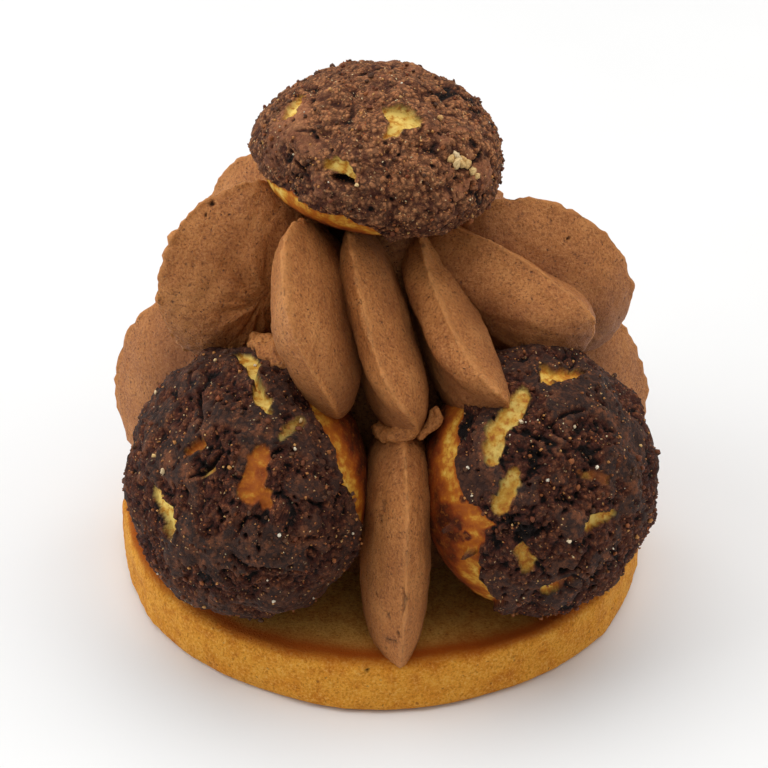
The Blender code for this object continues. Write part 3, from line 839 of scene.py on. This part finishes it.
def side_chou_matrix(azimuth, reach, facing, lean, height, lowest_point):
    tip = math.radians(lean)
    axis = Vector(outward(facing) * math.cos(tip) + UP * math.sin(tip))
    spin = Vector(UP).rotation_difference(axis).to_matrix().to_4x4()
    centre = Vector(outward(azimuth) * reach + UP * (DECK - SETTLE - lowest_point(spin)))
    return Matrix.Translation(centre) @ spin @ Matrix.Translation((0.0, 0.0, -height / 2))


def chou_lowest(points, height):
    """How low the smooth crust reaches once it is turned, measured from its middle."""

    def measure(spin):
        return placed(spin, points - np.array([0.0, 0.0, height / 2]))[:, 2].min()

    return measure


def add_choux(grain):
    dark = chou_finish("chou_lower", *DARK_CRUST)
    light = chou_finish("chou_upper", *LIGHT_CRUST)
    for name, seed, azimuth, reach, facing, lean, diameter, height in SIDE_CHOUX:
        skin = ball(HIDDEN_CELLS if name == "chou_back" else SKIN_CELLS)
        bun = bun_points(skin[0], diameter, height, SIDE_FORM)
        outwards = bun - np.array([0.0, 0.0, height * SIDE_FORM[0]])
        outwards /= np.linalg.norm(outwards, axis=1, keepdims=True)
        crust = bun + outwards * (CRUST_THICKNESS + 0.35 * CRAG_DEPTH)
        matrix = side_chou_matrix(azimuth, reach, facing, lean, height, chou_lowest(crust, height))
        made = add_chou(name, seed, diameter, height, SIDE_FORM, matrix, skin, dark, *SIDE_CRUMBS)
        add_grains(name, seed, *made, grain)
    forward, sideways = (math.radians(angle) for angle in TOP_TILT)
    lean = Matrix.Rotation(forward, 4, "X") @ Matrix.Rotation(sideways, 4, "Y")
    matrix = Matrix.Translation(TOP_BASE) @ lean
    form = (TOP_DIAMETER, TOP_HEIGHT, TOP_FORM)
    made = add_chou("chou_top", TOP_SEED, *form, matrix, ball(SKIN_CELLS), light, *TOP_CRUMBS)
    add_grains("chou_top", TOP_SEED, *made, grain)


def grain_shapes(centres, normals, widths, cells, chance):
    """Small rough crystals, each a ball with its corners pushed about, half sunk in the surface."""
    corners, quads = ball(cells)
    points, faces = [], []
    for centre, normal, width in zip(centres, normals, widths):
        shape = corners * chance.uniform(0.65, 1.25, (len(corners), 1))
        shape *= chance.uniform(0.7, 1.2, 3) * width / 2
        spin = np.linalg.qr(chance.normal(size=(3, 3)))[0]
        spin *= np.sign(np.linalg.det(spin))
        faces.append(quads + len(corners) * len(points))
        points.append(shape @ spin.T + centre + normal * width * 0.2)
    return np.concatenate(points), np.concatenate(faces)


def add_scattered(name, places, widths, tones, cells, chance, finish):
    """One mesh of grains at these places, each a point and its normal."""
    shapes, faces = grain_shapes(*places, widths, cells, chance)
    each = len(shapes) // len(widths)
    add_mesh(name, shapes, faces, finish, "chou", tone=np.repeat(tones, each))


def add_grains(name, seed, points, normals, cover, aims, finish):
    """Fine sugar on one crust, and its dark crumbs and the large grains that GRAINS names."""
    chance = np.random.default_rng(seed)
    spots = chance.choice(np.flatnonzero(cover > 0.9), SMALL_GRAINS + CRUMBS, replace=False)
    fine, large = spots[:SMALL_GRAINS], spots[SMALL_GRAINS:]
    widths = chance.gamma(4.0, 0.06, SMALL_GRAINS) + 0.12
    tones = chance.choice([0.05, 0.28, 0.45, 0.6, 0.95], SMALL_GRAINS, p=[0.26, 0.40, 0.24, 0.07, 0.03])
    tones = tones + chance.uniform(-0.06, 0.06, SMALL_GRAINS)
    add_scattered("grains_" + name, (points[fine], normals[fine]), widths, tones, 1, chance, finish)
    widths = chance.uniform(0.35, 0.9, CRUMBS)
    tones = chance.choice([0.0, 0.12, 0.30], CRUMBS, p=[0.55, 0.30, 0.15])
    for longitude, latitude, width, tone in GRAINS[name]:
        target = np.array(next(aimed([(longitude, latitude, 0.0)]))[:3]) / math.degrees(1.0)
        large = np.append(large, np.argmax(aims @ target))
        widths = np.append(widths, width)
        tones = np.append(tones, 0.45 + 0.55 * tone)
    add_scattered("crumbs_" + name, (points[large], normals[large]), widths, tones, 2, chance, finish)


# ---- Cream ----


class Stroke:
    """One piped stroke: a lens on edge in a vertical plane, with its ridge outwards."""

    def __init__(self, azimuth, reach, height, heading, slope, *form):
        tip = math.radians(slope)
        heading_way = outward(heading)
        self.sideways = outward(heading + 90.0)
        self.middle = outward(azimuth) * reach + UP * height
        self.along = heading_way * math.cos(tip) + UP * math.sin(tip)
        self.across = UP * math.cos(tip) - heading_way * math.sin(tip)
        self.back, self.front, self.out, self.under, self.left, self.right, self.bow, self.nose = form

    def lens(self, turns, rows):
        """The local places (along, sideways, across) of its points, its quads, and how near each
        point is to the ridge, from 1 there down to 0, and below 0 towards the stroke's root: this value
        lays a painted highlight along the ridge and painted shade towards the root."""
        latitudes = np.linspace(-math.pi / 2, math.pi / 2, rows + 1)[1:-1]
        side, turn = np.meshgrid(np.sin(latitudes), np.arange(turns) * 2 * math.pi / turns, indexing="ij")
        side = np.concatenate([[-1.0], side.ravel(), [1.0]])
        turn = np.concatenate([[0.0], turn.ravel(), [0.0]])
        ring = np.sqrt(np.clip(1.0 - side * side, 0.0, 1.0))
        c, s = np.cos(turn), np.sin(turn)
        power = np.where((c > 0) & (s > 0), 2.0 / self.nose, 1.0)
        along = np.sign(c) * np.abs(c) ** power * np.where(c > 0, self.front, self.back)
        across = np.sign(s) * np.abs(s) ** power * np.where(s > 0, self.out, self.under)
        sharp = 0.5 + 0.45 * np.clip(0.5 + s, 0.0, 1.0)
        fullness = 2.0 + (BODY_POWER - 2.0) * c * c
        width = np.where(side > 0, self.right, self.left) * (1.0 - ring**fullness) ** sharp
        sideways = np.sign(side) * width + self.bow * ring * np.clip(s, 0.0, None)
        local = np.stack([along * ring, sideways, across * ring], axis=1)
        edge = np.exp(-((width / RIDGE_WIDTH) ** 2)) * ease(s, -0.35, 0.25)
        # root: painted shade that darkens the faces towards the stroke's root
        root = 1.0 - ease(local[:, 2] / self.out, 0.0, 0.9)
        return local, tube_faces(rows - 1, turns)[:, ::-1], edge - 0.8 * root * (1.0 - edge)

    def world(self, local):
        return self.middle + local @ np.stack([self.along, self.sideways, self.across])


def cream_grain(local, edge, seed):
    """Relief of a stroke: soft swells, drag lines along it, pores, and a torn ridge, and the painted shade
    in its pores.
    """
    height = 0.16 * soft_noise(local, 5.0, seed) + 0.07 * soft_noise(local, 1.8, seed + 1)
    drawn = local / np.array([7.0, 1.0, 1.0])
    height += 0.15 * soft_noise(drawn, 0.9, seed + 2) + 0.08 * soft_noise(local, 0.9, seed + 3)
    torn = soft_noise(local, 0.9, seed + 4) + 0.6 * soft_noise(local, 2.2, seed + 5)
    height += np.maximum(edge, 0.0) * (0.12 + 0.42 * torn)
    near, _, pick = pebbles(local, 1.6, seed + 6)
    pore = (pick > 0.90) * (1.0 - ease(near, 0.08, 0.20))
    # painted shade in the pores
    return height - 0.15 * pore, 0.5 * pore


def wrinkled(local, centre):
    """Wrinkles that run out from one place of a stroke."""
    away = local[:, [0, 2]] - np.array(centre)
    reach = np.hypot(*away.T)
    spread = np.stack([np.arctan2(away[:, 1], away[:, 0]) * 4.6, reach / 7.0, local[:, 1] * 0.1], axis=1)
    folds = soft_noise(spread, 1.0, 91) + 0.5 * soft_noise(spread * 2.3, 1.0, 92)
    strength = ease(reach, 0.4, 2.0) * (1.0 - ease(reach, 5.0, 13.0))
    return 0.50 * folds * strength


def add_stroke(name, seed, stroke, finish, floor=None):
    local, faces, edge = stroke.lens(*(FINE if name in SHOWN else COARSE))
    height, deep = cream_grain(local, edge, seed)
    if name in WRINKLES:
        folds = wrinkled(local, WRINKLES[name])
        height += folds
        # painted shade in the wrinkles' hollows
        deep = np.maximum(deep, ease(-folds, 0.16, 0.60) * 0.7)
        edge = np.maximum(edge, -0.15)  # this face is lit down to its root
    for *place, radius in PORES.get(name, ()):
        gap = np.linalg.norm(local - np.array(place), axis=1)
        hole = 1.0 - ease(gap, 0.6 * radius, 1.3 * radius)
        height -= 0.6 * hole
        # painted shade in the pore
        deep = np.maximum(deep, hole)
    for depth, *line in SLITS.get(name, ()):
        hole = 1.0 - ease(distance_to_line(local, line), -0.05, 0.18)
        height -= depth * hole
        # painted shade in the slit
        deep = np.maximum(deep, 0.55 * hole)
    local = local + normals_of(local, faces) * height[:, None]
    points = stroke.world(local)
    if floor is not None:
        points[:, 2] = np.maximum(points[:, 2], floor)
    obj = add_mesh(name + "_piped", points, faces, finish, "cream", edge=edge, deep=deep)
    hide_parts(name)


def add_scrap(name, seed, line, finish):
    """A ragged lump of cream along a line."""
    stops = np.array(line)
    steps = np.linspace(0.0, len(stops) - 1.0, SCRAP_RINGS)
    spine = np.stack([np.interp(steps, np.arange(len(stops)), stops[:, axis]) for axis in range(4)], axis=1)
    along = stops[-1, :3] - stops[0, :3]
    along /= np.linalg.norm(along)
    first = np.cross(along, UP)
    first /= np.linalg.norm(first)
    second = np.cross(first, along)
    turn = np.arange(SCRAP_TURNS) * 2 * math.pi / SCRAP_TURNS
    taper = np.sqrt(np.clip(1.0 - np.linspace(-0.98, 0.98, SCRAP_RINGS) ** 6, 0.0, 1.0))
    ring = np.cos(turn)[:, None] * first + np.sin(turn)[:, None] * second
    rows = spine[:, None, :3] + ring[None] * (spine[:, 3] * taper)[:, None, None]
    points = np.concatenate([spine[:1, :3], rows.reshape(-1, 3), spine[-1:, :3]])
    faces = tube_faces(SCRAP_RINGS, SCRAP_TURNS)[:, ::-1]
    relief = 0.55 * soft_noise(points, 1.7, seed) + 0.40 * soft_noise(points, 0.8, seed + 1)
    relief *= np.minimum(spine[:, 3].mean(), 1.2) / 1.2
    points = points + normals_of(points, faces) * relief[:, None]
    # Painted highlight on the scrap's raised lumps, laid on through the attribute edge.
    torn = 0.5 * ease(relief, 0.1, 0.5)
    add_mesh(name, points, faces, finish, "cream", edge=torn, deep=np.zeros(len(points)))


def add_core(finish):
    """The mound of cream behind the strokes, with the folds that piping leaves."""
    profile = np.array(CORE_PROFILE)
    lengths = np.concatenate([[0.0], np.cumsum(np.hypot(*np.diff(profile, axis=0).T))])
    steps = np.linspace(0.0, lengths[-1], CORE_LEVELS + 2)[1:-1]
    radius, height = (np.interp(steps, lengths, profile[:, axis])[:, None] for axis in (0, 1))
    turn = np.arange(CORE_TURNS) * 2 * math.pi / CORE_TURNS
    fold = FOLD_DEPTH * np.sin(CORE_FOLDS * turn + height / FOLD_LEAN)
    radius = radius + fold * ease(radius, 3.0, 12.0)
    points = turned(radius, height, turn, profile[0, 1], profile[-1, 1])
    faces = tube_faces(CORE_LEVELS, CORE_TURNS)[:, ::-1]
    relief = 0.25 * soft_noise(points, 4.0, 61) + 0.08 * soft_noise(points, 1.2, 62)
    relief *= ease(points[:, 2], 8.4, 10.0)
    points = points + normals_of(points, faces) * relief[:, None]
    flat = np.zeros(len(points))
    # No ridge highlight, and an even painted shade all over the core, which sits in shade behind the
    # strokes.
    obj = add_mesh("cream_core_piped", points, faces, finish, "cream", edge=flat, deep=flat + 0.45)
    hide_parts("cream_core")


# ---- Biscuit ----


def biscuit_profile():
    """(radius, height) down the disc's section: its face, its rounded edges, its side and its base."""
    arc = np.linspace(0.0, math.pi / 2, 9)
    inner, lower = BISCUIT_RADIUS - BISCUIT_EDGE, BISCUIT_THICKNESS - BISCUIT_EDGE
    top = [(inner + BISCUIT_EDGE * math.sin(a), lower + BISCUIT_EDGE * math.cos(a)) for a in arc]
    base = [(radius, BISCUIT_THICKNESS - height) for radius, height in reversed(top)]
    rings = np.concatenate([np.arange(2.0, 24.0, 2.0), np.arange(24.0, inner, 0.42)])
    face = [(radius, BISCUIT_THICKNESS) for radius in rings]
    side = [(BISCUIT_RADIUS, height) for height in np.linspace(lower, BISCUIT_EDGE, 18)[1:-1]]
    under = [(radius, 0.0) for radius in np.arange(inner, 2.0, -3.0)[1:]]
    return np.array(face + top + side + base + under)


def add_biscuit(finish):
    profile = biscuit_profile()
    turn = np.arange(BISCUIT_TURNS) * 2 * math.pi / BISCUIT_TURNS
    swell = BISCUIT_WOBBLE * (np.sin(3 * turn + 0.6) + 0.6 * np.sin(7 * turn))
    grow = (BISCUIT_RADIUS - 1.6 * BISCUIT_WOBBLE + swell) / BISCUIT_RADIUS
    points = turned(profile[:, :1] * grow, profile[:, 1:], turn, BISCUIT_THICKNESS, 0.0)
    faces = tube_faces(len(profile), BISCUIT_TURNS)[:, ::-1]
    off_base = ease(points[:, 2], 0.0, 1.2)
    outer = ease(np.hypot(points[:, 0], points[:, 1]), 37.0, 39.5)
    relief = outer * (0.28 * soft_noise(points, 5.0, 71) + 0.16 * soft_noise(points, 1.7, 72))
    relief += (0.03 + 0.07 * outer) * soft_noise(points, 0.8, 73)
    near, _, pick = pebbles(points, 2.6, 74)
    pit = (pick > 0.86) * (1.0 - ease(near, 0.06, 0.16)) * (0.4 + 0.6 * outer)
    relief -= 0.45 * pit
    points = points + normals_of(points, faces) * (relief * off_base)[:, None]
    points[:, 2] = np.maximum(points[:, 2], 0.0)
    distance = np.hypot(points[:, 0], points[:, 1]) + 0.7 * soft_noise(points, 6.0, 75)
    on_face = ease(points[:, 2], BISCUIT_THICKNESS - 0.9, BISCUIT_THICKNESS - 0.25)
    brown = on_face * np.exp(-(((distance - BROWNED_RADIUS) / BROWNED_WIDTH) ** 2))
    face = on_face * (1.0 - ease(distance, 35.5, 38.5))
    # the pits carry painted shade
    obj = add_mesh("biscuit_baked", points, faces, finish, "biscuit", brown=brown, face=face, deep=pit)
    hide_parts("biscuit_base")


# ---- Studio ----

CAMERA_TARGET = Vector((0.0, 0.0, 0.0303))
CAMERA_DISTANCE = 0.400
CAMERA_ELEVATION, CAMERA_ROLL = 32.0, 1.4
IMAGE_WIDTH = 768
PIXELS_PER_MM = 6.74  # at the target

WORLD_LIGHT = 0.42
# Softboxes: size in metres, power in watts, place in metres and colour
SOFTBOXES = {
    "softbox_above": (0.9, 4.5, (0.0, 0.10, 0.75), (1.0, 1.0, 1.0)),
    "softbox_left": (0.8, 4.6, (-0.80, -0.12, 0.45), (0.96, 0.99, 1.0)),
    "softbox_right": (0.8, 1.9, (0.80, -0.12, 0.45), (1.0, 0.95, 0.89)),
}
TABLE_HALF = 2.5  # metres
TABLE_SHADES = (0.83, 0.85)


def add_camera():
    data = bpy.data.cameras.new("camera")
    data.sensor_width = 36.0
    data.lens = PIXELS_PER_MM * CAMERA_DISTANCE / MM / IMAGE_WIDTH * data.sensor_width
    camera = bpy.data.objects.new("camera", data)
    climb = math.radians(CAMERA_ELEVATION)
    back = Vector((0.0, -math.cos(climb), math.sin(climb)))
    camera.location = CAMERA_TARGET + back * CAMERA_DISTANCE
    camera.rotation_mode = "QUATERNION"
    roll = Matrix.Rotation(math.radians(CAMERA_ROLL), 3, "Z").to_quaternion()
    camera.rotation_quaternion = (-back).to_track_quat("-Z", "Y") @ roll
    bpy.context.scene.collection.objects.link(camera)
    bpy.context.scene.camera = camera


def add_light(name, size, power, place, colour):
    data = bpy.data.lights.new(name, "AREA")
    data.color = colour
    data.size = size
    data.energy = power
    light = bpy.data.objects.new(name, data)
    light.location = place
    light.rotation_mode = "QUATERNION"
    light.rotation_quaternion = (CAMERA_TARGET - Vector(place)).to_track_quat("-Z", "Y")
    bpy.context.scene.collection.objects.link(light)


def add_studio():
    world = bpy.data.worlds.new("studio")
    world.use_nodes = True
    background = world.node_tree.nodes["Background"]
    background.inputs["Color"].default_value = (1.0, 0.995, 0.985, 1.0)
    background.inputs["Strength"].default_value = WORLD_LIGHT
    bpy.context.scene.world = world
    for name, light in SOFTBOXES.items():
        add_light(name, *light)

    finish = Finish("white_table", 0.7)
    low, high = ((shade, shade, shade, 1.0) for shade in TABLE_SHADES)
    finish.surface(Base_Color=finish.ramp(finish.noise(60.0, 2.0), (0.3, low), (0.7, high)))
    mesh = bpy.data.meshes.new("table")
    corners = [(x * TABLE_HALF, y * TABLE_HALF, 0.0) for x, y in ((-1, -1), (1, -1), (1, 1), (-1, 1))]
    mesh.from_pydata(corners, [], [(0, 1, 2, 3)])
    mesh.materials.append(finish.material)
    table = bpy.data.objects.new("table", mesh)
    bpy.context.scene.collection.objects.link(table)
    bpy.context.scene.view_settings.view_transform = "Standard"


def clear_startup():
    for obj in list(bpy.data.objects):
        bpy.data.objects.remove(obj, do_unlink=True)


clear_startup()
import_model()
cream = cream_finish()
add_biscuit(biscuit_finish())
add_choux(grain_finish())
add_core(cream)
for number, (name, numbers) in enumerate(WEDGES.items()):
    add_stroke(name, 100 + 10 * number, Stroke(*numbers), cream, floor=BISCUIT_THICKNESS - SINK)
for number, (name, numbers) in enumerate(PETALS.items()):
    add_stroke(name, 200 + 10 * number, Stroke(*numbers), cream)
for number, (name, line) in enumerate(SCRAPS.items()):
    add_scrap(name, 500 + 10 * number, line, cream)
add_camera()
add_studio()
